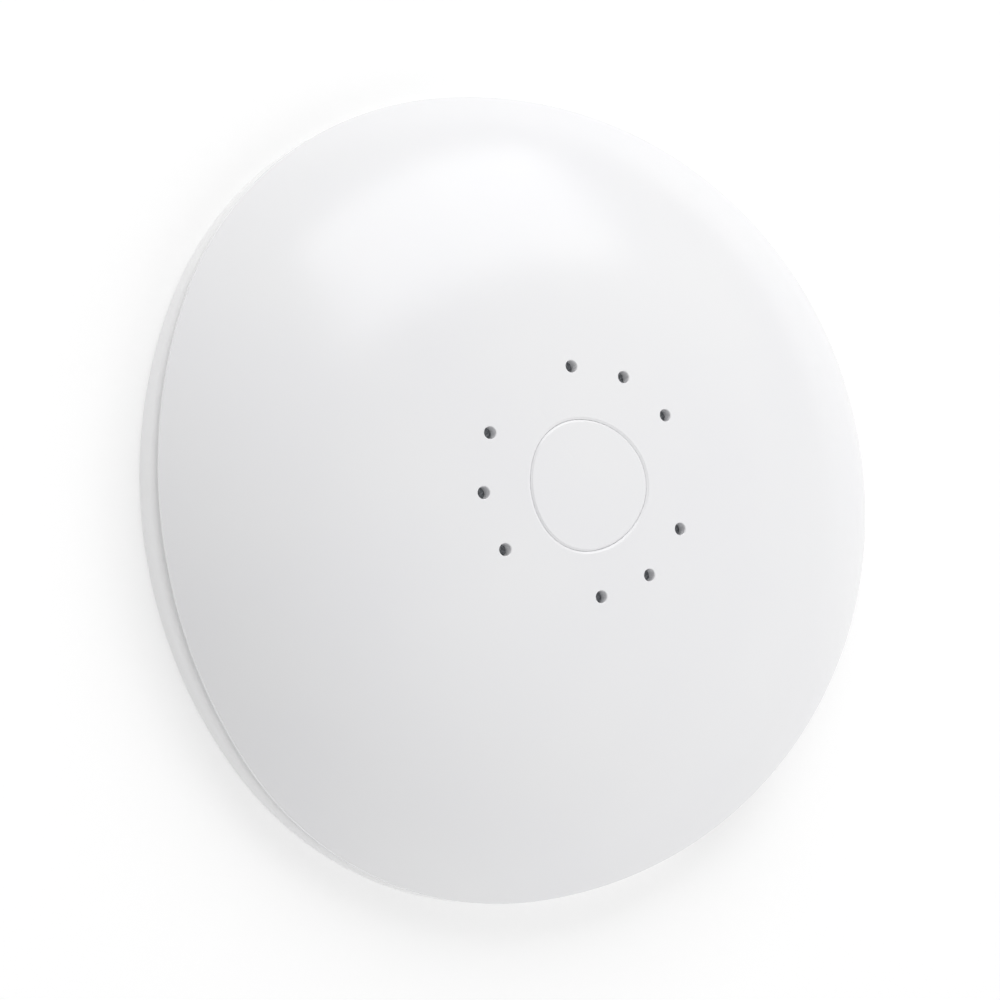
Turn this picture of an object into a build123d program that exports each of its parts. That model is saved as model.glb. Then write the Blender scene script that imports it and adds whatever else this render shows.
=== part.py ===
from build123d import *
import math
import os

# Wall-hung infrared controller in a domed disc, in millimetres.
# Each piece is modelled lying down: the wall is the plane z = 0, the dome rises along +Z,
# and Y points up the wall. At the end everything is stood up, so that in the finished
# part the wall face is at y = 0, the dome faces -Y and +Z is up.

# Outline: a constant-width rounded triangle with one corner at the top
width = 100.0
outline_side = 14.5           # side of the triangle that the six outline arcs are drawn about
corner_angles = (90, 210, 330)
side_angles = (30, 150, 270)

# Dome profile: one smooth curve from the centre to just past the outline
dome_height = 22.4
dome_flat_reach = 26.0        # how far the centre stays nearly flat
dome_run_past = 3.0           # how far the dome curve is drawn past the outline
dome_edge_height = 2.3
dome_edge_slope = 54.0        # degrees
dome_edge_reach = 18.4

# Front cover
cover_wall = 2.0
lip_height = 1.0              # thickness of the lip over the housing's neck, measured along z
lip_edge_height = 0.45        # its thickness where it overhangs the neck
lip_edge_radius = 0.2
skirt_bottom = 7.4
skirt_wall = 1.2
skirt_clearance = 0.1
vent_radius = 0.75
vent_edge_radius = 0.12
vent_depth = 1.5              # cover thickness left over the seat of the mesh
vent_margin = 2.2             # from the vents' circle in to the edge of the mesh behind them
vent_step = 30.0
vent_spread = (-1, 0, 1)

# Rear housing
back_gap = 0.3                # the housing clears the wall by this much
flange_inset = 0.06
shoulder_drop = 3.0           # how far the shoulder lies under the dome surface
shoulder_edge_radius = 1.4
back_edge_radius = 0.4
neck_inset = 3.0
neck_wall = 2.0
floor_top = 2.0
recess_wall = 1.6
recess_depth = 3.2
deck_top = 4.6
parting_gap = 0.05

# Wall plate and the bayonet that hangs the housing on it
plate_thickness = 0.8
plate_screw_margin = 6.4      # from a screw hole's centre to the plate's edge
plate_screw_hole_radius = 2.2
plate_slot_angles = (90, 270)
plate_slot_length = 16.0
plate_slot_width = 5.0
plate_slot_radius = 14.0
lug_height = 1.65             # underside of the lug
lug_length = 4.0
lug_clearance = 0.6
lug_sweep = 26.0              # degrees
lug_angles = side_angles
lug_stop_gap = 0.65           # degrees between a tab and the stop at its lug's end
tab_bottom = 0.5
tab_thickness = 0.8
tab_clearance = 1.1
tab_sweep = 22.0              # degrees

# Main board
board_bottom = 5.0
board_thickness = 1.6
board_boss_gap = 1.5          # between the board and the cover's bosses
board_tongue_width = 16.0
board_tongue_gap = 2.0        # from the socket's mouth wall to the tongue's end
board_post_margin = 4.12      # from a post's centre to the board's corner
board_post_radius = 3.0
board_post_gap = 0.4
board_screw_radius = 1.0
board_screw_hole_radius = 1.2
board_screw_length = 4.5
board_screw_head_radius = 1.9
board_screw_head_height = 1.2

# Screws that hold the cover to the housing, driven from the back
cover_screw_margin = 3.5      # from a screw's centre to the inside of the neck
cover_screw_angles = (60, 180, 300)
cover_boss_radius = 3.0
cover_pad_radius = 4.2
cover_pad_top = 3.2
cover_screw_radius = 1.1
cover_screw_hole_radius = 1.35
cover_screw_length = 7.5
cover_screw_head_radius = 2.0
cover_screw_head_height = 1.0
screw_head_edge_radius = 0.35
cover_counterbore_radius = 2.3
cover_counterbore_depth = 1.4

# Screw drive recess, common to all screws
drive_radius = 0.75
drive_depth = 0.6
thread_clearance = 0.05

# Centre button
button_width = 15.3
button_side = 2.3
button_place = (-0.28, -0.35)
groove_width = 0.6            # two sloped edges, with the gap between them along its middle
groove_depth = 0.16
key_clearance = 0.05          # between the key and the wall of its opening
button_lip_height = 0.55      # cover thickness left over the button's brim
brim_overlap = 0.8
brim_thickness = 0.9
brim_play = 0.06              # gap between brim and cover lip at rest
button_skirt_height = 2.4
button_skirt_wall = 0.9
button_travel = 0.5
guide_clearance = 0.1
collar_wall = 1.2
collar_height = 3.0
stem_radius = 1.9

# Tact switch under the button
switch_size = 6.0
switch_height = 3.5
switch_corner_radius = 0.6
plunger_radius = 1.7
plunger_clearance = 0.08
plunger_bore_depth = 1.0
stem_length = 4.79

# Reset key on the back and its switch under the board
reset_angle = 250.0
reset_gap = 0.4               # between the key's collar and the recess's wall
reset_head_radius = 1.5
reset_collar_radius = 2.2
reset_collar_height = 0.6
reset_clearance = 0.08
reset_sink = 0.3              # how far the key's face lies inside the back face
reset_travel = 0.25
reset_switch_length = 4.6
reset_switch_width = 3.4
reset_switch_height = 1.6
reset_plunger_radius = 0.8
reset_plunger_height = 0.4

# Power inlet
socket_width = 7.5
socket_height = 2.6
socket_depth = 5.6
socket_wall = 0.3
socket_taper = 1.1
inlet_width = 12.4
inlet_top = 6.3
inlet_depth = 4.27            # from the rim to the wall that the socket's mouth sits in
inlet_wall = 1.6
inlet_corner_radius = 1.0
socket_clearance = 0.2
socket_setback = 0.15
tongue_width = 3.6
tongue_height = 0.6
contact_count = 5
contact_pitch = 0.65
contact_width = 0.35
contact_height = 0.12

# How far a cutting body reaches past what it cuts
cut_past = 1.0

# Parts on the board
module_angle = 150.0
module_margin = 2.0
module_length = 25.5
module_width = 18.0
module_thickness = 0.8
shield_length = 16.0
shield_side_margin = 1.5
shield_end_margin = 1.15
shield_height = 2.3
small_edge_radius = 0.5       # top edges of the can, capacitors and sounder
antenna_turns = 5
antenna_track = 0.5
antenna_height = 0.1
antenna_span = 5.0
antenna_pitch = 1.4
chip_size = 8.0
chip_height = 0.9
chip_place = (16.5, -7.0)
memory_length = 6.0
memory_width = 5.0
memory_height = 1.6
memory_margin = 9.5
memory_y = 5.0
regulator_length = 6.5
regulator_width = 3.5
regulator_height = 1.6
regulator_margin = 3.4
inductor_size = 7.3
inductor_height = 3.4
inductor_corner_radius = 1.2
inductor_well_radius = 2.6
inductor_well_depth = 0.3
inductor_y = 16.0
capacitor_radius = 3.15
capacitor_height = 5.8
capacitor_margin = 10.0
capacitor_angles = (-71, -54)
buzzer_radius = 4.5
buzzer_height = 5.0
buzzer_hole_radius = 0.9
buzzer_gap = 4.0
buzzer_angle = 257.0
sensor_size = 2.6
sensor_height = 0.9
sensor_port_radius = 0.5
sensor_angle = 30.0
duct_wall = 0.8
duct_gap = 0.56               # between the sensor's corners and the duct
mesh_width = 5.3
mesh_clearance = 1.2          # from the corners of the button's collar to the mesh
mesh_thickness = 0.3
mesh_gap = 0.02
mesh_side_gap = 0.1           # between the mesh and the sides of its seat
lamp_inset = 0.4              # from the light guide's inner face to a lamp's middle
lamp_angles = (30, 150, 270)
lamp_length = 1.6
lamp_width = 0.8
lamp_height = 0.6
light_guide_wall = 1.1
light_guide_clearance = 1.5   # from a face of the switch to the light guide
light_guide_gap = 0.3
emitter_angles = (0, 30, 118, 192, 236)
emitter_radius = 1.5
emitter_length = 4.4
emitter_flange_radius = 1.9
emitter_flange_length = 0.8
emitter_gap = 0.3             # between a lamp's flange and the board
emitter_margin = 3.5          # from the back of a lamp's body to the board's edge
lead_radius = 0.25
lead_spacing = 1.27
lead_run = 1.6
lead_bend_radius = 0.6
receiver_width = 5.6
receiver_depth = 3.6
receiver_height = 6.0
receiver_lens_radius = 2.0
receiver_lens_height = 0.6
receiver_margin = 4.2
receiver_angle = 222.0
small_part_length = 1.6
small_part_width = 0.8
small_part_height = 0.5
small_part_step = 2.4
small_part_rows = ((14.0, -0.5), (5.5, 11.5), (10.0, 14.5), (-13.5, -6.0), (-10.0, -9.0), (9.5, -14.0))
small_part_angles = (0, 90, 90, 270, 270, 0)
small_part_counts = (4, 4, 2, 3, 3, 4)

# Blank label
label_margin = 15.0           # from the label's edge to the wall of the recess
label_thickness = 0.1


def flank_reach(across, triangle_side):
    """From the axis to the middle of a flank of a rounded triangle."""
    return (across + triangle_side) / 2 - triangle_side / math.sqrt(3)


def corner_reach(across, triangle_side):
    """From the axis to a corner of a rounded triangle."""
    return (across - triangle_side) / 2 + triangle_side / math.sqrt(3)


# Sizes that follow from the ones above, from the rim inwards
neck_inner_width = width - 2 * (neck_inset + neck_wall)
skirt_outer_width = neck_inner_width - 2 * skirt_clearance
cover_screw_circle = neck_inner_width / 2 - cover_screw_margin
board_width = 2 * (cover_screw_circle - cover_boss_radius - board_boss_gap)
board_reach = board_width / 2
board_post_circle = corner_reach(board_width, outline_side) - board_post_margin
recess_radius = board_post_circle - board_post_radius - board_post_gap - recess_wall
lug_reach = recess_radius - lug_clearance
plate_radius = lug_reach - lug_length
plate_screw_spacing = 2 * (plate_radius - plate_screw_margin)
tab_inner_radius = plate_radius + tab_clearance
label_radius = recess_radius - label_margin
inlet_back = inlet_depth - flank_reach(width, outline_side)
board_tongue_end = inlet_back + board_tongue_gap
reset_circle = recess_radius + recess_wall + reset_collar_radius + reset_gap
emitter_circle = board_reach - emitter_margin
module_distance = flank_reach(board_width, outline_side) - module_margin - module_width / 2
light_guide_inner = switch_size / 2 + light_guide_clearance
light_guide_outer = light_guide_inner + light_guide_wall
lamp_circle = light_guide_inner + lamp_inset
buzzer_distance = light_guide_outer + buzzer_radius + buzzer_gap
opening_width = button_width + groove_width
brim_width = button_width + 2 * (groove_width + brim_overlap)
guide_width = brim_width + 2 * guide_clearance
collar_width = guide_width + 2 * collar_wall
mesh_inner_radius = corner_reach(collar_width, button_side) + mesh_clearance
mesh_outer_radius = mesh_inner_radius + mesh_width
vent_circle_radius = mesh_inner_radius + vent_margin
duct_inner_radius = sensor_size / math.sqrt(2) + duct_gap
duct_outer_radius = duct_inner_radius + duct_wall
emitter_lift = emitter_flange_radius + emitter_gap
shield_width = module_width - 2 * shield_side_margin
shield_offset = shield_end_margin - (module_length - shield_length) / 2

# Heights that follow
board_top = board_bottom + board_thickness
module_top = board_top + module_thickness
button_lip_bottom = dome_height - button_lip_height
brim_top = button_lip_bottom - brim_play
collar_bottom = dome_height - cover_wall - collar_height
plunger_top = brim_top - stem_length
socket_centre_z = board_bottom - socket_height / 2
reset_collar_top = floor_top + reset_clearance + reset_collar_height
reset_body_bottom = board_bottom - reset_switch_height


def rounded_triangle(across, triangle_side):
    """Six tangent arcs about the corners of a triangle, the same width in every direction."""
    reach = triangle_side / math.sqrt(3)
    tip_radius = (across - triangle_side) / 2
    flank_radius = (across + triangle_side) / 2
    centres = [polar(reach, angle) for angle in corner_angles]
    arcs = []
    for index, angle in enumerate(corner_angles):
        opposite = centres[index - 1]
        arcs.append(CenterArc(centres[index], tip_radius, angle - 30, 60))
        arcs.append(CenterArc(opposite, flank_radius, angle + 30, 60))
    return make_face(arcs)


def polar(distance, angle):
    """Point at this distance and angle about the axis."""
    turn = math.radians(angle)
    return (distance * math.cos(turn), distance * math.sin(turn))


def upright(shape, x, y, bottom):
    """Set a flat face down at a place and a height."""
    return Pos(x, y, bottom) * shape


def prism(across, triangle_side, bottom, top):
    """Straight-sided body on the rounded triangle."""
    return extrude(upright(rounded_triangle(across, triangle_side), 0, 0, bottom), top - bottom)


def post(radius, bottom, top, x=0.0, y=0.0):
    """Plain round body along z."""
    return extrude(upright(Circle(radius), x, y, bottom), top - bottom)


def block(length, depth, bottom, top, x=0.0, y=0.0):
    """Plain box with its centre at x, y."""
    return extrude(upright(Rectangle(length, depth), x, y, bottom), top - bottom)


def dome(sink=0.0, inward=0.0):
    """Everything under the dome surface, sunk along z or set in along its normal."""
    slope = math.radians(dome_edge_slope)
    set_in_x = inward * math.sin(slope)
    set_in_z = inward * math.cos(slope)
    top = dome_height - sink - inward
    edge_x = width / 2 + dome_run_past - set_in_x
    edge_z = dome_edge_height - sink - set_in_z
    handle_x = edge_x - dome_edge_reach * math.cos(slope)
    handle_z = edge_z + dome_edge_reach * math.sin(slope)
    base = edge_z - dome_height
    surface = Bezier((0, 0, top), (dome_flat_reach, 0, top), (handle_x, 0, handle_z), (edge_x, 0, edge_z))
    side = Line((edge_x, 0, edge_z), (edge_x, 0, base))
    under = Line((edge_x, 0, base), (0, 0, base))
    axis_line = Line((0, 0, base), (0, 0, top))
    # The turned surface's seam is set at a corner, clear of the vents
    return Rot(0, 0, corner_angles[0]) * revolve(make_face([surface, side, under, axis_line]), Axis.Z, 360)


def group(shapes):
    """Separate solids kept together as one piece of the list."""
    return Compound([solid for shape in shapes for solid in shape.solids()])


def vent_angles():
    """Three groups of three, between the corners of the medallion."""
    return [angle + 60 + vent_step * place for angle in corner_angles for place in vent_spread]


def front_cover():
    """Domed shell with a thin lip, a locating skirt, screw bosses, vents and the button's guide."""
    shell = prism(width, outline_side, -width, dome_height + cut_past) & dome()
    lip_edges = [edge for edge in shell.edges() if is_rim_edge(edge)]
    shell = fillet(lip_edges, lip_edge_radius)
    outer_ring = prism(width + 2 * dome_run_past, outline_side, -width, dome_height)
    outer_ring -= prism(skirt_outer_width, outline_side, -width, dome_height)
    shell -= outer_ring & dome(sink=lip_height)
    outer_ring -= prism(width - 2 * neck_inset, outline_side, -width, dome_height)
    shell -= outer_ring & dome(sink=lip_edge_height)
    inside = prism(skirt_outer_width - 2 * skirt_wall, outline_side, -width, dome_height)
    shell -= inside & dome(inward=cover_wall)
    shell -= prism(skirt_outer_width, outline_side, -width, skirt_bottom)
    under_dome = dome(inward=cover_wall / 2)
    for angle in cover_screw_angles:
        x, y = polar(cover_screw_circle, angle)
        shell += post(cover_boss_radius, cover_pad_top + parting_gap, dome_height, x, y) & under_dome
        pilot_top = cover_pad_top + cover_screw_length
        shell -= post(cover_screw_radius + thread_clearance, 0, pilot_top, x, y)
    shell += button_prism(collar_width, collar_bottom, dome_height) & under_dome
    shell -= button_prism(guide_width, collar_bottom - cut_past, button_lip_bottom)
    shell -= button_prism(opening_width, collar_bottom, dome_height + cut_past)
    seat = post(mesh_outer_radius + mesh_side_gap, collar_bottom, dome_height)
    seat -= post(mesh_inner_radius - mesh_side_gap, 0, dome_height)
    shell -= seat & dome(inward=vent_depth)
    for angle in vent_angles():
        x, y = polar(vent_circle_radius, angle)
        shell -= post(vent_radius, collar_bottom, dome_height + 1, x, y)
    shell = fillet(shell.edges().filter_by(on_vent_rim), vent_edge_radius)
    return slope_rim(shell, opening_width, groove_width / 2)


def on_vent_rim(edge):
    """True for the edges where a vent opens in the dome surface."""
    middle = edge @ 0.5
    reach = math.hypot(middle.X, middle.Y)
    return abs(reach - vent_circle_radius) < 2 * vent_radius and middle.Z > dome_height - vent_depth / 2


def button_prism(across, bottom, top):
    """Straight-sided body on the button's outline, at the button's place."""
    return Pos(*button_place) * prism(across, button_side, bottom, top)


def on_top_rim(edge, across):
    """True for the edges where the dome surface meets the wall of the button's opening."""
    middle = edge @ 0.5
    reach = math.hypot(middle.X, middle.Y)
    return middle.Z > dome_height - button_lip_height / 2 and reach < across / 2 + button_side / 2


def slope_rim(solid, across, reach):
    """Slope the dome surface down by the groove's depth where it meets this outline."""
    rim = solid.edges().filter_by(lambda edge: on_top_rim(edge, across))
    beside = [face for face in solid.faces() if any(edge.is_same(rim[0]) for edge in face.edges())]
    return chamfer(rim, reach, groove_depth, reference=max(beside, key=lambda face: face.area))


def centre_button():
    """Medallion-shaped key with a sloped edge, a brim that holds it behind the cover, and a stem."""
    brim_bottom = brim_top - brim_thickness
    key_width = opening_width - 2 * key_clearance
    cap = button_prism(key_width, brim_bottom, dome_height + cut_past) & dome()
    cap = slope_rim(cap, key_width, groove_width / 2 - key_clearance)
    brim = button_prism(brim_width, brim_bottom, brim_top)
    skirt = button_prism(brim_width, brim_top - button_skirt_height, brim_top)
    skirt -= button_prism(brim_width - 2 * button_skirt_wall, 0, brim_bottom)
    stem = post(stem_radius, plunger_top, brim_top)
    return cap + brim + skirt + stem


def bayonet_tab(angle):
    """Inward tab of the housing that hooks behind a lug of the wall plate."""
    return ring_piece(tab_inner_radius, recess_radius + recess_wall / 2, tab_bottom,
                      tab_bottom + tab_thickness, angle, tab_sweep)


def ring_piece(inner, outer, bottom, top, angle, sweep):
    """Piece of a flat ring between two radii, centred on an angle."""
    half = sweep / 2
    start = angle - half
    end = angle + half
    sides = [
        CenterArc((0, 0), outer, start, sweep),
        Line(polar(outer, end), polar(inner, end)),
        CenterArc((0, 0), inner, start, sweep),
        Line(polar(inner, start), polar(outer, start)),
    ]
    return extrude(upright(make_face(sides), 0, 0, bottom), top - bottom)


def rear_housing():
    """Rear shell: flange with a soft shoulder, neck, recess for the plate, posts and inlet."""
    flange = prism(width - 2 * flange_inset, outline_side, back_gap, dome_height)
    flange = flange & dome(sink=shoulder_drop)
    shoulder_edges = [edge for edge in flange.edges() if is_rim_edge(edge)]
    flange = fillet(shoulder_edges, shoulder_edge_radius)
    flange = fillet(flange.edges().group_by(Axis.Z)[0], back_edge_radius)
    neck = prism(width - 2 * neck_inset, outline_side, back_gap, dome_height)
    neck = neck & dome(sink=lip_height + parting_gap)
    shell = flange + neck
    cavity = prism(neck_inner_width, outline_side, floor_top, dome_height)
    cavity -= post(recess_radius + recess_wall, 0, deck_top)
    shell -= cavity
    shell -= post(recess_radius, 0, recess_depth)
    for angle in lug_angles:
        shell += bayonet_tab(angle)
    for angle in corner_angles:
        x, y = polar(board_post_circle, angle)
        shell += post(board_post_radius, floor_top / 2, board_bottom, x, y)
        pilot_bottom = board_top - board_screw_length
        shell -= post(board_screw_radius + thread_clearance, pilot_bottom, board_bottom, x, y)
    for angle in cover_screw_angles:
        x, y = polar(cover_screw_circle, angle)
        shell += post(cover_pad_radius, floor_top / 2, cover_pad_top, x, y) & cavity_limit()
        shell -= post(cover_screw_hole_radius, 0, cover_pad_top, x, y)
        shell -= post(cover_counterbore_radius, 0, back_gap + cover_counterbore_depth, x, y)
    inlet_centre = inlet_back + inlet_wall / 2
    shell += block(inlet_width + 2 * inlet_wall, inlet_wall, floor_top / 2, skirt_bottom - parting_gap,
                   0, inlet_centre)
    shell -= inlet_pocket()
    shell -= socket_slot()
    x, y = polar(reset_circle, reset_angle)
    shell -= post(reset_head_radius + reset_clearance, 0, floor_top, x, y)
    return shell


def cavity_limit():
    """Room inside the neck, which the screw pads stay within."""
    return prism(neck_inner_width + neck_wall, outline_side, 0, dome_height)


def is_rim_edge(edge):
    """True for the wavy edges where a wall on the outline meets the surface above it."""
    middle = edge @ 0.5
    reach = math.hypot(middle.X, middle.Y)
    return reach > width / 2 - outline_side / 2 and middle.Z > back_gap + parting_gap


def inlet_pocket():
    """Pocket in the rim for the plug, open towards the wall."""
    outer = -width
    middle = (outer + inlet_back) / 2
    pocket = block(inlet_width, inlet_back - outer, -inlet_top, inlet_top, 0, middle)
    corners = pocket.edges().filter_by(Axis.Y).group_by(Axis.Z)[-1]
    return fillet(corners, inlet_corner_radius)


def socket_outline(grow):
    """Outline of the power socket: wide at the top, drawn in at the bottom corners."""
    half = socket_width / 2 + grow
    low = -socket_height / 2 - grow
    high = socket_height / 2 + grow
    taper = socket_taper
    points = [(-half, high), (half, high), (half, low + taper), (half - taper, low),
              (taper - half, low), (-half, low + taper)]
    return make_face(Polyline(*points, close=True))


def along_y(face, start, length):
    """Extrude an x-z face from a place on y towards the middle of the part."""
    return extrude(Pos(0, start, socket_centre_z) * Rot(90, 0, 0) * face, -length)


def socket_slot():
    """Slot in the inlet's wall that the socket's mouth stands in."""
    return along_y(socket_outline(socket_clearance), inlet_back - cut_past, inlet_wall + cut_past + neck_wall)


def usb_socket_shell():
    """Steel shell of the power socket, open at its mouth."""
    start = inlet_back + socket_setback
    shell = along_y(socket_outline(0), start, socket_depth)
    return shell - along_y(socket_outline(-socket_wall), start, socket_depth - socket_wall)


def usb_socket_tongue():
    """Plastic tongue inside the socket."""
    length = socket_depth - socket_wall
    start = inlet_back + socket_setback + length / 4
    back = inlet_back + socket_setback + length
    tongue = block(tongue_width, back - start, socket_centre_z, socket_centre_z + tongue_height,
                   0, (start + back) / 2)
    return tongue


def usb_contacts():
    """Row of gold contacts under the tongue."""
    length = (socket_depth - socket_wall) / 2
    back = inlet_back + socket_setback + socket_depth - socket_wall
    strips = []
    for place in range(contact_count):
        x = (place - (contact_count - 1) / 2) * contact_pitch
        strips.append(block(contact_width, length, socket_centre_z - contact_height, socket_centre_z,
                            x, back - length / 2))
    return group(strips)


def wall_plate():
    """Bent steel plate with two screw holes and three raised lugs."""
    plate = post(plate_radius, 0, plate_thickness)
    for side in (-1, 1):
        x = side * plate_screw_spacing / 2
        plate -= post(plate_screw_hole_radius, -cut_past, plate_thickness + cut_past, x)
    for angle in plate_slot_angles:
        x, y = polar(plate_slot_radius, angle)
        slot = SlotOverall(plate_slot_length, plate_slot_width)
        plate -= extrude(upright(slot, x, y, -cut_past), plate_thickness + 2 * cut_past)
    for angle in lug_angles:
        riser = ring_piece(plate_radius - plate_thickness, plate_radius, 0,
                           lug_height + plate_thickness, angle, lug_sweep)
        lug = ring_piece(plate_radius - plate_thickness, lug_reach, lug_height,
                         lug_height + plate_thickness, angle, lug_sweep)
        stop_sweep = (lug_sweep - tab_sweep) / 2 - lug_stop_gap
        stop_angle = angle - (lug_sweep - stop_sweep) / 2
        stop = ring_piece(plate_radius - plate_thickness, lug_reach, tab_bottom,
                          lug_height + plate_thickness, stop_angle, stop_sweep)
        plate += riser + lug + stop
    return plate


def main_board():
    """Printed board with its tongue towards the power inlet."""
    board = prism(board_width, outline_side, board_bottom, board_top)
    board += block(board_tongue_width, -board_tongue_end, board_bottom, board_top, 0, board_tongue_end / 2)
    for angle in corner_angles:
        x, y = polar(board_post_circle, angle)
        board -= post(board_screw_hole_radius, 0, dome_height, x, y)
    return board


def screw(radius, length, head_radius, head_height):
    """Pan-head screw standing on its tip, with the underside of its head at z = 0."""
    body = post(radius, -length, 0)
    head = post(head_radius, 0, head_height)
    head = fillet(head.edges().group_by(Axis.Z)[-1], screw_head_edge_radius)
    drive = extrude(upright(RegularPolygon(drive_radius, 6), 0, 0, head_height - drive_depth), drive_depth)
    return body + (head - drive)


def board_screws():
    """Three screws through the board into the housing's posts."""
    one = screw(board_screw_radius, board_screw_length, board_screw_head_radius, board_screw_head_height)
    places = [polar(board_post_circle, angle) for angle in corner_angles]
    return group([Pos(x, y, board_top) * one for x, y in places])


def cover_screws():
    """Three screws from the back through the housing into the cover's bosses."""
    one = screw(cover_screw_radius, cover_screw_length - cover_counterbore_depth,
                cover_screw_head_radius, cover_screw_head_height)
    one = Rot(180, 0, 0) * one
    seat = back_gap + cover_counterbore_depth
    places = [polar(cover_screw_circle, angle) for angle in cover_screw_angles]
    return group([Pos(x, y, seat) * one for x, y in places])


def centre_switch_body():
    """Square body of the tact switch under the button."""
    body = block(switch_size, switch_size, board_top, board_top + switch_height)
    body = fillet(body.edges().filter_by(Axis.Z), switch_corner_radius)
    bore_bottom = board_top + switch_height - plunger_bore_depth
    return body - post(plunger_radius + plunger_clearance, bore_bottom, plunger_top)


def centre_switch_plunger():
    """Long plunger between the switch and the button's stem."""
    bottom = board_top + switch_height - plunger_bore_depth + button_travel + guide_clearance
    return post(plunger_radius, bottom, plunger_top)


def reset_button():
    """Small key in the back face, with a collar that keeps it in."""
    head_bottom = back_gap + reset_sink
    collar_seat = floor_top + reset_clearance
    x, y = polar(reset_circle, reset_angle)
    key = post(reset_head_radius, head_bottom, collar_seat, x, y)
    key = fillet(key.edges().group_by(Axis.Z)[0], reset_clearance)
    return key + post(reset_collar_radius, collar_seat, reset_collar_top, x, y)


def reset_switch_plunger():
    """Plunger of the reset switch, which stands on the key's collar."""
    x, y = polar(reset_circle, reset_angle)
    return post(reset_plunger_radius, reset_collar_top, reset_body_bottom + reset_plunger_height, x, y)


def reset_switch_body():
    """Tact switch on the underside of the board, over the reset key."""
    x, y = polar(reset_circle, reset_angle)
    body = block(reset_switch_length, reset_switch_width, reset_body_bottom, board_bottom, x, y)
    bore_top = reset_body_bottom + reset_plunger_height + reset_travel + reset_clearance
    return body - post(reset_plunger_radius + reset_clearance, 0, bore_top, x, y)


def on_module(shape):
    """Carry a shape drawn about the module's centre to the module's place."""
    x, y = polar(module_distance, module_angle)
    return Pos(x, y, 0) * Rot(0, 0, module_angle + 90) * shape


def wifi_module_board():
    """Small board of the radio module."""
    return on_module(block(module_length, module_width, board_top, module_top))


def wifi_shield_can():
    """Folded tin can over the radio."""
    can = block(shield_length, shield_width, module_top, module_top + shield_height, shield_offset, 0)
    top_edges = can.edges().group_by(Axis.Z)[-1]
    can = fillet(top_edges, small_edge_radius)
    return on_module(can)


def wifi_antenna():
    """Printed track that folds to and fro beside the can."""
    top = module_top + antenna_height
    first = shield_offset + shield_length / 2 + antenna_track
    track = None
    start_y = -(antenna_turns - 1) * antenna_pitch
    for turn in range(2 * antenna_turns - 1):
        y = start_y + turn * antenna_pitch
        bar = block(antenna_span, antenna_track, module_top, top, first + antenna_span / 2, y)
        track = bar if track is None else track + bar
    for turn in range(2 * antenna_turns - 2):
        y = start_y + (turn + 0.5) * antenna_pitch
        end = first + antenna_span - antenna_track / 2 if turn % 2 == 0 else first + antenna_track / 2
        track += block(antenna_track, antenna_pitch + antenna_track, module_top, top, end, y)
    return on_module(track)


def on_board(length, depth, height, x, y):
    """Box-shaped part soldered on the board."""
    return block(length, depth, board_top, board_top + height, x, y)


def processor():
    """Square main chip."""
    return on_board(chip_size, chip_size, chip_height, *chip_place)


def memory_chip():
    """Small chip beside the processor."""
    return on_board(memory_length, memory_width, memory_height, board_reach - memory_margin, memory_y)


def voltage_regulator():
    """Regulator at the foot of the board's tongue."""
    return on_board(regulator_length, regulator_width, regulator_height, 0, regulator_margin - board_reach)


def power_inductor():
    """Square power choke with rounded corners and a round top well."""
    body = on_board(inductor_size, inductor_size, inductor_height, 0, inductor_y)
    body = fillet(body.edges().filter_by(Axis.Z), inductor_corner_radius)
    top = board_top + inductor_height
    well = post(inductor_well_radius, top - inductor_well_depth, top, 0, inductor_y)
    return body - well


def supply_capacitors():
    """Two electrolytic cans."""
    cans = []
    for angle in capacitor_angles:
        x, y = polar(board_reach - capacitor_margin, angle)
        can = post(capacitor_radius, board_top, board_top + capacitor_height, x, y)
        cans.append(fillet(can.edges().group_by(Axis.Z)[-1], small_edge_radius))
    return group(cans)


def buzzer():
    """Round sounder with its hole."""
    x, y = polar(buzzer_distance, buzzer_angle)
    body = post(buzzer_radius, board_top, board_top + buzzer_height, x, y)
    body = fillet(body.edges().group_by(Axis.Z)[-1], small_edge_radius)
    return body - post(buzzer_hole_radius, board_top + buzzer_height / 2, dome_height, x, y)


def climate_sensor():
    """Temperature and humidity chip with its port."""
    x, y = polar(vent_circle_radius, sensor_angle)
    body = on_board(sensor_size, sensor_size, sensor_height, x, y)
    top = board_top + sensor_height
    return body - post(sensor_port_radius, top - sensor_height / 2, top, x, y)


def sensor_duct():
    """Foam tube from the board to the mesh, which keeps the board's warmth off the sensor."""
    x, y = polar(vent_circle_radius, sensor_angle)
    tube = post(duct_outer_radius, board_top, dome_height, x, y)
    tube -= post(duct_inner_radius, board_top, dome_height, x, y)
    tube = tube & dome(inward=cover_wall + mesh_gap)
    return tube - collar_space()


def collar_space():
    """Room that the button's collar takes up."""
    reach = collar_width + 2 * guide_clearance
    return button_prism(reach, collar_bottom - guide_clearance, dome_height)


def dust_mesh():
    """Ring of mesh behind the vents, bonded in its seat in the cover."""
    ring = post(mesh_outer_radius, collar_bottom, dome_height) - post(mesh_inner_radius, 0, dome_height)
    ring = ring & dome(inward=vent_depth + mesh_gap)
    return ring - dome(inward=vent_depth + mesh_gap + mesh_thickness)


def status_lamps():
    """Three small lamps under the light guide."""
    lamps = []
    for angle in lamp_angles:
        lamp = on_board(lamp_width, lamp_length, lamp_height, lamp_circle, 0)
        lamps.append(Rot(0, 0, angle) * lamp)
    return group(lamps)


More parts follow.
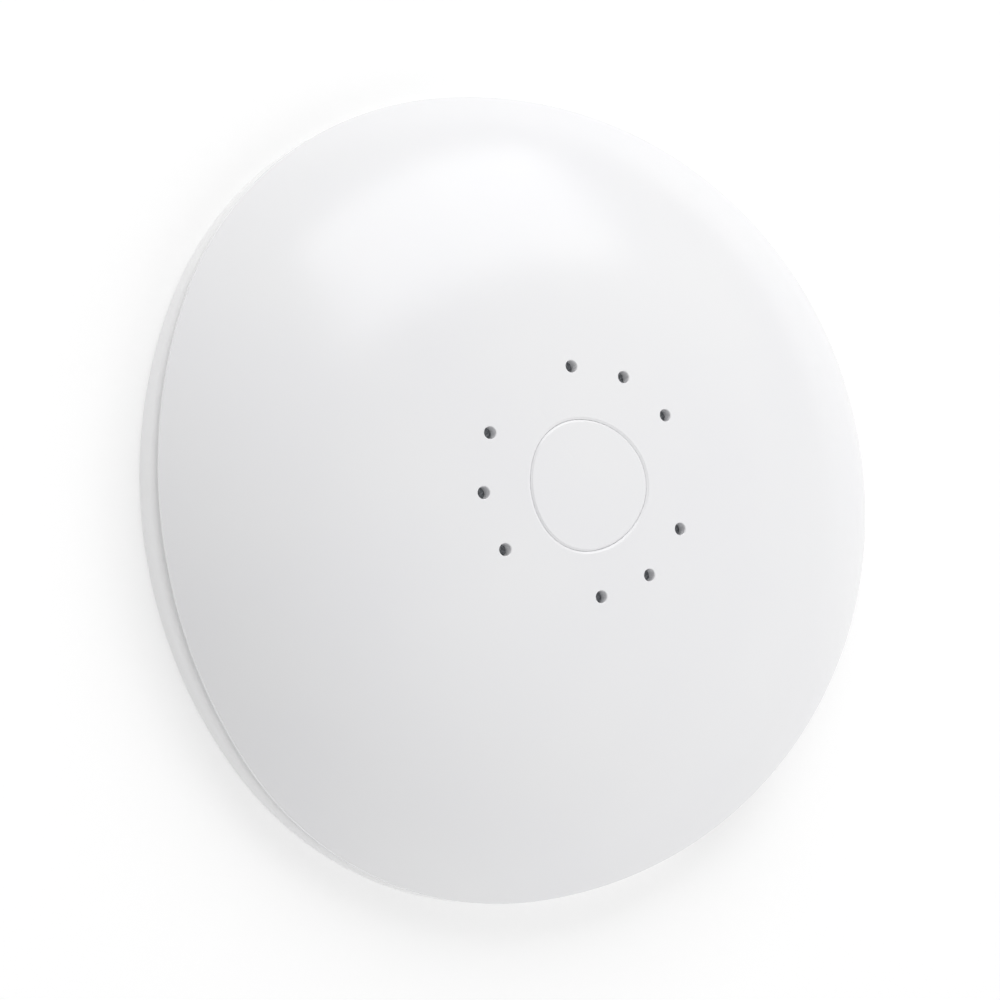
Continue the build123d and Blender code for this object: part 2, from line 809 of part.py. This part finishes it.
def light_guide():
    """Clear tube that carries the lamps' light up to the button."""
    bottom = board_top + lamp_height + light_guide_gap
    top = brim_top - brim_thickness - button_travel - light_guide_gap
    tube = post(light_guide_outer, bottom, top) - post(light_guide_inner, bottom, top)
    for angle in corner_angles:
        x, y = polar((light_guide_outer + light_guide_inner) / 2, angle)
        tube += post((light_guide_outer - light_guide_inner) / 2, board_top, bottom + light_guide_gap, x, y)
    return tube


def emitter():
    """Small round lamp that lies along x with its back at x = 0."""
    barrel = extrude(Rot(0, 90, 0) * Circle(emitter_radius), emitter_length - emitter_radius)
    tip = Pos(emitter_length - emitter_radius, 0, 0) * Sphere(emitter_radius)
    flange = extrude(Rot(0, 90, 0) * Circle(emitter_flange_radius), emitter_flange_length)
    return barrel + tip + flange


def emitter_places(shape):
    """One copy of a shape at each infrared lamp."""
    height = board_top + emitter_lift
    return [Rot(0, 0, angle) * Pos(emitter_circle, 0, height) * shape for angle in emitter_angles]


def ir_emitters():
    """Infrared lamps that face outwards round the rim."""
    return group(emitter_places(emitter()))


def ir_emitter_leads():
    """Two bent legs for each infrared lamp."""
    legs = []
    for side in (-1, 1):
        y = side * lead_spacing / 2
        level = Line((0, y, 0), (lead_radius - lead_run, y, 0))
        corners = [(0, y, 0), (-lead_run, y, 0), (-lead_run, y, -emitter_lift)]
        bend = FilletPolyline(*corners, radius=lead_bend_radius)
        legs.append(sweep(Plane(origin=level @ 0, z_dir=(-1, 0, 0)) * Circle(lead_radius), path=bend))
    wires = []
    for leg in legs:
        wires += emitter_places(leg)
    return group(wires)


def ir_receiver():
    """Receiver block with a round lens on its front."""
    body = block(receiver_depth, receiver_width, board_top, board_top + receiver_height)
    lens = extrude(Pos(0, 0, board_top + receiver_height / 2) * Rot(0, 90, 0) * Circle(receiver_lens_radius),
                   receiver_depth / 2 + receiver_lens_height)
    return Rot(0, 0, receiver_angle) * Pos(board_reach - receiver_margin, 0, 0) * (body + lens)


def small_components():
    """Rows of chip resistors and capacitors near the larger parts."""
    parts = []
    for (x, y), angle, count in zip(small_part_rows, small_part_angles, small_part_counts):
        for place in range(count):
            step = place * small_part_step
            part = on_board(small_part_width, small_part_length, small_part_height, step, 0)
            parts.append(Pos(x, y, 0) * Rot(0, 0, angle) * part)
    return group(parts)


def rating_label():
    """Blank label on the roof of the plate's recess."""
    return post(label_radius, recess_depth - label_thickness, recess_depth)


pieces = {
    "front_cover": front_cover,
    "centre_button": centre_button,
    "rear_housing": rear_housing,
    "wall_plate": wall_plate,
    "main_board": main_board,
    "wifi_module_board": wifi_module_board,
    "wifi_shield_can": wifi_shield_can,
    "wifi_antenna": wifi_antenna,
    "processor": processor,
    "memory_chip": memory_chip,
    "voltage_regulator": voltage_regulator,
    "power_inductor": power_inductor,
    "supply_capacitors": supply_capacitors,
    "small_components": small_components,
    "ir_emitters": ir_emitters,
    "ir_emitter_leads": ir_emitter_leads,
    "ir_receiver": ir_receiver,
    "climate_sensor": climate_sensor,
    "sensor_duct": sensor_duct,
    "dust_mesh": dust_mesh,
    "status_lamps": status_lamps,
    "light_guide": light_guide,
    "buzzer": buzzer,
    "centre_switch_body": centre_switch_body,
    "centre_switch_plunger": centre_switch_plunger,
    "reset_button": reset_button,
    "reset_switch_body": reset_switch_body,
    "reset_switch_plunger": reset_switch_plunger,
    "usb_socket_shell": usb_socket_shell,
    "usb_socket_tongue": usb_socket_tongue,
    "usb_contacts": usb_contacts,
    "board_screws": board_screws,
    "cover_screws": cover_screws,
    "rating_label": rating_label,
}

os.makedirs("parts", exist_ok=True)
stand_up = Rot(90, 0, 0)
for name, make in pieces.items():
    export_step(stand_up * make(), f"parts/{name}.step")
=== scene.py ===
import bpy
import math
from mathutils import Matrix, Vector

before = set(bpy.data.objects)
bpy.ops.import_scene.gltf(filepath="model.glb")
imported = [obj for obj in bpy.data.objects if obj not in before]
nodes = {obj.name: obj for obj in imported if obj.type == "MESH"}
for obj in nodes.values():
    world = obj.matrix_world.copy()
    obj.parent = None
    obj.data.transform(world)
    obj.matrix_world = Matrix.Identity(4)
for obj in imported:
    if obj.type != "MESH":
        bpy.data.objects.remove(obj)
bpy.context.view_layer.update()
mm = 0.001


# Materials: one function adds a shader node, and each finish of this controller is written out with it

def linear(hex_colour):
    """An sRGB hex colour as the linear colour that a shader takes."""
    shares = [int(hex_colour[place:place + 2], 16) / 255 for place in (1, 3, 5)]
    return [s / 12.92 if s <= 0.04045 else ((s + 0.055) / 1.055) ** 2.4 for s in shares] + [1.0]


def wire(material, node, inputs):
    """Give a shader node's sockets their values and links."""
    for socket, value in inputs.items():
        if isinstance(value, bpy.types.NodeSocket):
            material.node_tree.links.new(value, node.inputs[socket])
        else:
            node.inputs[socket].default_value = value


def add(material, kind, inputs=None, stops=(), **settings):
    """Add a shader node with its settings, its values and links, and a ramp's colour stops."""
    node = material.node_tree.nodes.new(kind)
    for name, value in settings.items():
        setattr(node, name, value)
    wire(material, node, inputs or {})
    for count, (position, colour) in enumerate(stops):
        elements = node.color_ramp.elements
        element = elements[count] if count < 2 else elements.new(position)
        element.position, element.color = position, linear(colour)
    return node


def blank(name):
    """A new material, its shader and the place on the object that its patterns read."""
    material = bpy.data.materials.new(name)
    material.use_nodes = True
    shader = material.node_tree.nodes["Principled BSDF"]
    return material, shader, add(material, "ShaderNodeTexCoord").outputs["Object"]


def moulded(name, pale, deep, roughness, skin_mm, skin_depth_mm, ior):
    """Injection-moulded plastic: the tool's spark-eroded skin in relief, with a slow drift of tone and gloss
    where the melt cooled at different rates."""
    melt_patch, rubbed_patch = 22 * mm, 9 * mm
    material, shader, place = blank(name)
    flow = add(material, "ShaderNodeTexNoise", {"Vector": place, "Scale": 1 / melt_patch, "Detail": 2.0})
    tone = add(material, "ShaderNodeValToRGB", {"Fac": flow.outputs["Fac"]}, ((0.3, deep), (0.7, pale)))
    rub = add(material, "ShaderNodeTexNoise", {"Vector": place, "Scale": 1 / rubbed_patch, "Detail": 3.0})
    gloss = add(material, "ShaderNodeMapRange", {
        "Value": rub.outputs["Fac"], "From Min": 0.3, "From Max": 0.7,
        "To Min": roughness - 0.02, "To Max": roughness + 0.02})
    skin = add(material, "ShaderNodeTexNoise", {"Vector": place, "Scale": 1 / (skin_mm * mm), "Detail": 2.0})
    relief = add(material, "ShaderNodeBump", {"Height": skin.outputs["Fac"], "Distance": skin_depth_mm * mm})
    wire(material, shader, {
        "Base Color": tone.outputs["Color"], "Roughness": gloss.outputs["Result"],
        "Normal": relief.outputs["Normal"], "IOR": ior})
    return material


def metal(name, pale, deep, roughness, lay_mm, lay_depth_mm):
    """Bare or plated metal: fine lines along the way it was rolled or drawn, and patches where the surface is a
    little duller."""
    length_to_width = 12
    dull_patch = 6 * mm
    material, shader, place = blank(name)
    along = add(material, "ShaderNodeMapping", {"Vector": place, "Scale": (1 / length_to_width, 1.0, 1.0)})
    lay = add(material, "ShaderNodeTexNoise", {
        "Vector": along.outputs["Vector"], "Scale": 1 / (lay_mm * mm), "Detail": 3.0})
    patch = add(material, "ShaderNodeTexNoise", {"Vector": place, "Scale": 1 / dull_patch, "Detail": 4.0})
    tone = add(material, "ShaderNodeValToRGB", {"Fac": patch.outputs["Fac"]}, ((0.35, deep), (0.65, pale)))
    dull = add(material, "ShaderNodeMix", {0: 0.5, 2: patch.outputs["Fac"], 3: lay.outputs["Fac"]})
    gloss = add(material, "ShaderNodeMapRange", {
        "Value": dull.outputs[0], "From Min": 0.35, "From Max": 0.65,
        "To Min": roughness - 0.06, "To Max": roughness + 0.08})
    relief = add(material, "ShaderNodeBump", {"Height": lay.outputs["Fac"], "Distance": lay_depth_mm * mm})
    wire(material, shader, {
        "Base Color": tone.outputs["Color"], "Metallic": 1.0, "Roughness": gloss.outputs["Result"],
        "Normal": relief.outputs["Normal"]})
    return material


def printed_board(name, mask, over_copper, track_mm):
    """Glass-epoxy board under solder mask: the mask is paler and stands proud where a copper track runs below it,
    and tinned vias show as small bright dots."""
    track_run, track_step = 7.3 * mm, 1.9 * mm
    via_step, via_share = 4.1 * mm, 0.09
    glass_weave = 0.6 * mm
    copper_height = 0.035 * mm
    material, shader, place = blank(name)
    flat = add(material, "ShaderNodeMapping", {"Vector": place, "Rotation": (math.pi / 2, 0.0, 0.0)})
    tracks = add(material, "ShaderNodeTexBrick", {
        "Vector": flat.outputs["Vector"], "Scale": 1.0, "Mortar Size": track_mm * mm / 2, "Mortar Smooth": 0.1,
        "Brick Width": track_run, "Row Height": track_step}, offset=0.37, squash=0.6, squash_frequency=3)
    vias = add(material, "ShaderNodeTexVoronoi", {"Vector": flat.outputs["Vector"], "Scale": 1 / via_step})
    via = add(material, "ShaderNodeMath", {0: vias.outputs["Distance"], 1: via_share}, operation="LESS_THAN")
    weave = add(material, "ShaderNodeTexNoise", {"Vector": place, "Scale": 1 / glass_weave, "Detail": 2.0})
    tone = add(material, "ShaderNodeMix", {
        0: tracks.outputs["Fac"], 6: linear(mask), 7: linear(over_copper)}, data_type="RGBA")
    tone = add(material, "ShaderNodeMix", {
        0: via.outputs[0], 6: tone.outputs[2], 7: linear("#B9B7AC")}, data_type="RGBA")
    gloss = add(material, "ShaderNodeMapRange", {"Value": weave.outputs["Fac"], "To Min": 0.26, "To Max": 0.42})
    relief = add(material, "ShaderNodeBump", {"Height": tracks.outputs["Fac"], "Distance": copper_height})
    wire(material, shader, {
        "Base Color": tone.outputs[2], "Metallic": via.outputs[0], "Roughness": gloss.outputs["Result"],
        "Normal": relief.outputs["Normal"], "IOR": 1.55})
    return material


def granular(name, pale, deep, roughness, grain_mm, grain_depth_mm):
    """A pressed, fired or filled body: grains of two tones, each a little proud of the next."""
    gloss_patch = 3 * mm
    material, shader, place = blank(name)
    grains = add(material, "ShaderNodeTexVoronoi", {"Vector": place, "Scale": 1 / (grain_mm * mm)})
    tone = add(material, "ShaderNodeValToRGB", {"Fac": grains.outputs["Distance"]}, ((0.1, pale), (0.8, deep)))
    cloud = add(material, "ShaderNodeTexNoise", {"Vector": place, "Scale": 1 / gloss_patch, "Detail": 3.0})
    gloss = add(material, "ShaderNodeMapRange", {
        "Value": cloud.outputs["Fac"], "From Min": 0.3, "From Max": 0.7,
        "To Min": roughness - 0.05, "To Max": roughness + 0.05})
    relief = add(material, "ShaderNodeBump", {
        "Height": grains.outputs["Distance"], "Distance": grain_depth_mm * mm}, invert=True)
    wire(material, shader, {
        "Base Color": tone.outputs["Color"], "Roughness": gloss.outputs["Result"],
        "Normal": relief.outputs["Normal"], "IOR": 1.55})
    return material


def clear_cast(name, tint, roughness, ior):
    """Clear cast or moulded resin: it bends what is behind it, and faint flow lines show as a change of gloss."""
    flow_line = 2.5 * mm
    material, shader, place = blank(name)
    swirl = add(material, "ShaderNodeTexNoise", {
        "Vector": place, "Scale": 1 / flow_line, "Detail": 2.0, "Distortion": 1.5})
    gloss = add(material, "ShaderNodeMapRange", {
        "Value": swirl.outputs["Fac"], "To Min": roughness, "To Max": roughness + 0.08})
    tone = add(material, "ShaderNodeValToRGB", {"Fac": swirl.outputs["Fac"]}, ((0.3, tint), (0.8, "#F4F7FB")))
    wire(material, shader, {
        "Base Color": tone.outputs["Color"], "Roughness": gloss.outputs["Result"], "IOR": ior,
        "Transmission Weight": 0.92})
    return material


# ABS, moulded in a finely spark-eroded tool: satin, cool white, its skin only just breaking up the reflections
cover_abs = moulded("satin_moulded_abs", "#F0F0F1", "#EEEEF0", 0.24, 0.35, 0.0006, 1.53)
# The cover's white ABS, from a coarser tool as a back half has: duller, with a grain that a side light picks out. Its
# colour is painted paler than the cover's, which is painted light that makes the rim look more brightly lit
housing_abs_painted_paler = moulded("coarse_abs_painted_paler", "#F9F9F9", "#F7F7F8", 0.36, 0.6, 0.004, 1.53)
# The reset key's ABS, tinted grey so that a finger or a pin finds it
key_abs = moulded("grey_moulded_abs", "#8F9295", "#86898C", 0.42, 0.4, 0.006, 1.53)
# PBT with glass fibre: deep grey-black, matt, with the fibres' streaks near the skin
switch_pbt = moulded("glass_filled_pbt", "#232427", "#17181A", 0.48, 0.25, 0.006, 1.57)
# Acetal: slippery off-white, waxy gloss
plunger_acetal = moulded("moulded_acetal", "#DEDBD2", "#D6D3C9", 0.33, 0.3, 0.002, 1.48)
# Polyester label film, matt and blank: its liner's fine pebble shows when it catches the light
label_film = moulded("matt_polyester_film", "#F6F6F5", "#F2F2F1", 0.45, 0.22, 0.004, 1.6)
# Zinc-plated steel sheet, passivated: bluish silver, the rolling lines still to be seen under the plate
zinc_sheet = metal("zinc_plated_sheet", "#C1C6CA", "#B8BDC2", 0.34, 0.25, 0.004)
# Zinc-plated screw steel: the same plate, smoother on a turned head
screw_steel = metal("zinc_plated_screw", "#B9BDC0", "#9A9EA2", 0.27, 0.12, 0.002)
# Tin-plated steel, drawn or folded: soft bright grey with a slightly greasy gloss
tinned_steel = metal("tin_plated_steel", "#D3D4D2", "#BEBFBD", 0.28, 0.3, 0.003)
# Tinned copper wire: paler, with the dip's slow waves
tinned_wire = metal("tinned_copper_wire", "#D0D2D2", "#BBBDBE", 0.32, 0.5, 0.004)
# Gold flash over nickel: warm, even and fairly glossy
gold_flash = metal("gold_flashed_nickel", "#E6C27A", "#D8B066", 0.24, 0.2, 0.001)
# Deep-drawn aluminium: bright, with drawing lines
can_aluminium = metal("drawn_aluminium", "#DDDFE1", "#CBCED1", 0.25, 0.2, 0.003)
# FR-4 board in green solder mask, tracks 0.4 mm
green_board = printed_board("green_masked_fr4", "#0E4A2A", "#1B6A3C", 0.4)
# The radio module's board in black mask, tracks 0.3 mm
black_board = printed_board("black_masked_fr4", "#15171A", "#25292D", 0.3)
# Silica-filled epoxy, transfer moulded: near black and matt, its grain drawn at 0.18 mm so that it shows
chip_epoxy = granular("filled_chip_epoxy", "#232326", "#19191B", 0.55, 0.18, 0.006)
# Pressed ferrite: dark brown-grey, dry and a little gritty
ferrite = granular("pressed_ferrite", "#45434A", "#2F2D31", 0.66, 0.3, 0.015)
# Fired ceramic chips: tan bodies, with darker ones among them; cells of 3 mm give each chip its own tone
chip_ceramic = granular("fired_chip_ceramic", "#B4926A", "#4A3B30", 0.5, 3.0, 0.0)
# Alumina lamp body with its yellow gel
lamp_ceramic = granular("alumina_and_gel", "#F3F0E2", "#E4D98C", 0.42, 1.6, 0.01)
# Closed-cell polyethylene foam: dull grey skin with open cells of 0.5 mm where it was cut
duct_foam = granular("cut_closed_cell_foam", "#4A4B4E", "#77797C", 0.92, 0.5, 0.12)
# Infrared lamp epoxy: water-clear with a blue-violet tint
lamp_epoxy = clear_cast("tinted_clear_epoxy", "#C3CBE8", 0.03, 1.54)
# Acrylic light guide, moulded clear
guide_acrylic = clear_cast("moulded_clear_acrylic", "#EAF1F4", 0.04, 1.49)


def woven_nylon():
    """Plain-woven nylon mesh: round grey threads that pass over and under each other. The real threads lie 0.2 mm
    apart; they are drawn 0.5 mm apart so that the weave shows through a vent."""
    pitch, thread_height = 0.5 * mm, 0.1 * mm
    material, shader, place = blank("plain_woven_nylon")
    # A wave of scale 1 repeats every pi / 10
    bands = math.pi / 10 / pitch
    warp = add(material, "ShaderNodeTexWave", {"Vector": place, "Scale": bands}, bands_direction="X")
    weft = add(material, "ShaderNodeTexWave", {"Vector": place, "Scale": bands}, bands_direction="Z")
    # The checks read one height, so that the curved ring doesn't change the weave
    level = add(material, "ShaderNodeVectorMath", {0: place, 1: (1.0, 0.0, 1.0)}, operation="MULTIPLY")
    over = add(material, "ShaderNodeTexChecker", {"Vector": level.outputs["Vector"], "Scale": 1 / pitch})
    top = add(material, "ShaderNodeMix", {0: over.outputs["Fac"], 2: warp.outputs["Fac"], 3: weft.outputs["Fac"]})
    # Painted shade: the threads are painted darker where they curve down and dip under each other, and paler on their
    # crowns
    tone = add(material, "ShaderNodeValToRGB", {"Fac": top.outputs[0]}, ((0.1, "#73767A"), (0.8, "#8D9094")))
    relief = add(material, "ShaderNodeBump", {"Height": top.outputs[0], "Distance": thread_height})
    wire(material, shader, {
        "Base Color": tone.outputs["Color"], "Roughness": 0.6, "Normal": relief.outputs["Normal"], "IOR": 1.53})
    return material


finishes = {
    "front_cover": cover_abs,
    "centre_button": cover_abs,
    "rear_housing": housing_abs_painted_paler,
    "wall_plate": zinc_sheet,
    "main_board": green_board,
    "wifi_module_board": black_board,
    "wifi_shield_can": tinned_steel,
    "wifi_antenna": gold_flash,
    "processor": chip_epoxy,
    "memory_chip": chip_epoxy,
    "voltage_regulator": chip_epoxy,
    "power_inductor": ferrite,
    "supply_capacitors": can_aluminium,
    "small_components": chip_ceramic,
    "ir_emitters": lamp_epoxy,
    "ir_emitter_leads": tinned_wire,
    "ir_receiver": chip_epoxy,
    "climate_sensor": chip_epoxy,
    "sensor_duct": duct_foam,
    "dust_mesh": woven_nylon(),
    "status_lamps": lamp_ceramic,
    "light_guide": guide_acrylic,
    "buzzer": switch_pbt,
    "centre_switch_body": switch_pbt,
    "centre_switch_plunger": plunger_acetal,
    "reset_button": key_abs,
    "reset_switch_body": switch_pbt,
    "reset_switch_plunger": plunger_acetal,
    "usb_socket_shell": tinned_steel,
    "usb_socket_tongue": switch_pbt,
    "usb_contacts": gold_flash,
    "board_screws": screw_steel,
    "cover_screws": screw_steel,
    "rating_label": label_film,
}
for name, finish in finishes.items():
    nodes[name].data.materials.clear()
    nodes[name].data.materials.append(finish)


# Camera, at the photograph's angle

camera_place = Vector((-171.916, -361.749, 82.176)) * mm
# Its columns are the camera's right, its up and the way back to it
turn = Matrix(((0.698431, 0.57993, -0.419376), (-0.456011, -0.091019, -0.885308), (-0.551587, 0.809566, 0.200884)))

camera_data = bpy.data.cameras.new("camera")
camera_data.sensor_width = 36.0
camera_data.lens = 117.07
camera = bpy.data.objects.new("camera", camera_data)
bpy.context.scene.collection.objects.link(camera)
camera.matrix_world = Matrix.Translation(camera_place) @ turn.to_4x4()
bpy.context.scene.camera = camera
bpy.context.scene.view_settings.view_transform = "Standard"


# Light: a softbox above and a soft studio sky. Directions are to the right, up and towards the camera,
# as the camera sees the object

softbox_side = (0.36, 0.84, 0.40)
softbox_long_side = (0.548, -0.333, -0.984)
softbox_size = (0.9, 0.6)
softbox_distance = 0.9
softbox_watts = 3.49

softbox_data = bpy.data.lights.new("softbox", "AREA")
softbox_data.shape = "RECTANGLE"
softbox_data.size, softbox_data.size_y = softbox_size
softbox_data.energy = softbox_watts
softbox = bpy.data.objects.new("softbox", softbox_data)
bpy.context.scene.collection.objects.link(softbox)
back = turn @ Vector(softbox_side).normalized()
long_side = turn @ Vector(softbox_long_side)
long_side = (long_side - back * long_side.dot(back)).normalized()
axes = Matrix((long_side, back.cross(long_side), back)).transposed()
softbox.matrix_world = Matrix.Translation(back * softbox_distance) @ axes.to_4x4()
softbox.visible_camera = False

sky_even = 0.08
# Soft light from one side each: its direction and its strength
sky_sides = (
    ((0.7, -0.7, 0.0), 1.08),
    ((0.0, 0.7, 0.7), 0.46),
    ((-0.35, 0.9, 0.25), 0.32),
    ((0.0, -1.0, 0.0), 0.17),
)
# The sky behind the wall, which lights the back alone
sky_behind = 0.85

world = bpy.data.worlds.new("studio")
world.use_nodes = True
bpy.context.scene.world = world
ray = add(world, "ShaderNodeTexCoord").outputs["Generated"]
strength = sky_even
for aside, share in sky_sides:
    side = turn @ Vector(aside).normalized()
    facing = add(world, "ShaderNodeVectorMath", {0: ray, 1: side}, operation="DOT_PRODUCT").outputs["Value"]
    facing = add(world, "ShaderNodeMath", {0: facing, 1: 0.0}, operation="MAXIMUM").outputs[0]
    strength = add(world, "ShaderNodeMath", {0: facing, 1: share, 2: strength}, operation="MULTIPLY_ADD").outputs[0]
# The same light from everywhere behind the wall
behind = add(world, "ShaderNodeVectorMath", {0: ray, 1: (0.0, 1.0, 0.0)}, operation="DOT_PRODUCT").outputs["Value"]
behind = add(world, "ShaderNodeMath", {0: behind, 1: 0.0}, operation="GREATER_THAN").outputs[0]
strength = add(world, "ShaderNodeMapRange", {"Value": behind, "To Min": strength, "To Max": sky_behind}).outputs[0]
# The sky is white where it is seen, and gives everything else the light above
path = add(world, "ShaderNodeLightPath").outputs
seen = add(world, "ShaderNodeMath", {0: path["Is Camera Ray"], 1: path["Is Transmission Ray"]}, operation="MAXIMUM")
shown = add(world, "ShaderNodeMapRange", {"Value": seen.outputs[0], "To Min": strength, "To Max": 1.0})
wire(world, world.node_tree.nodes["Background"], {
    "Color": (1.0, 1.0, 1.0, 1.0), "Strength": shown.outputs["Result"]})


# Stage: the wall that it hangs on, and a pale floor below it

wall_size = 3.0
wall_gap = 0.05 * mm             # behind the plate's back face, so that the two never coincide
floor_level = -0.35


def wall_paint():
    """Matt white paint, which bounces light onto the object as pale paint does, and glows a little besides, which adds
    light of its own on the object. Where it is seen, part of its brightness is the light on it, which keeps the
    object's shadow, and part is white of its own. From its far side it isn't there, nor for anything seen through it,
    so that the back can be looked at."""
    tone_unseen, tone_seen = 0.85, 0.6
    # Part of the light that the wall throws on the object is a glow of its own, not light that it bounces
    glow_unseen, glow_seen = 0.14, 0.44
    material, shader, _ = blank("matt_wall_paint")
    path = add(material, "ShaderNodeLightPath").outputs
    seen = add(material, "ShaderNodeMath", {
        0: path["Is Camera Ray"], 1: path["Is Glossy Ray"]}, operation="MAXIMUM")
    seen = add(material, "ShaderNodeMath", {
        0: seen.outputs[0], 1: path["Is Transmission Ray"]}, operation="MAXIMUM")
    tone = add(material, "ShaderNodeMapRange", {"Value": seen.outputs[0], "To Min": tone_unseen, "To Max": tone_seen})
    shine = add(material, "ShaderNodeMapRange", {"Value": seen.outputs[0], "To Min": glow_unseen, "To Max": glow_seen})
    wire(material, shader, {
        "Base Color": tone.outputs["Result"], "Roughness": 1.0, "Specular IOR Level": 0.0,
        "Emission Color": (1.0, 1.0, 1.0, 1.0), "Emission Strength": shine.outputs["Result"]})
    far_side = add(material, "ShaderNodeNewGeometry").outputs["Backfacing"]
    past = add(material, "ShaderNodeMath", {0: far_side, 1: path["Transparent Depth"]}, operation="MAXIMUM")
    clear = add(material, "ShaderNodeBsdfTransparent")
    either = add(material, "ShaderNodeMixShader", {
        0: past.outputs[0], 1: shader.outputs["BSDF"], 2: clear.outputs["BSDF"]})
    wire(material, material.node_tree.nodes["Material Output"], {"Surface": either.outputs["Shader"]})
    return material


paint = wall_paint()
bpy.ops.mesh.primitive_plane_add(size=wall_size, location=(0.0, wall_gap, 0.0), rotation=(math.pi / 2, 0.0, 0.0))
wall = bpy.context.object
wall.name = "wall"
wall.data.materials.append(paint)
bpy.ops.mesh.primitive_plane_add(size=wall_size, location=(0.0, -wall_size / 2, floor_level))
floor = bpy.context.object
floor.name = "floor"
floor.data.materials.append(paint)
# The floor is seen, but the sky's light from below passes it
floor.visible_diffuse = False
floor.visible_glossy = False
floor.visible_shadow = False
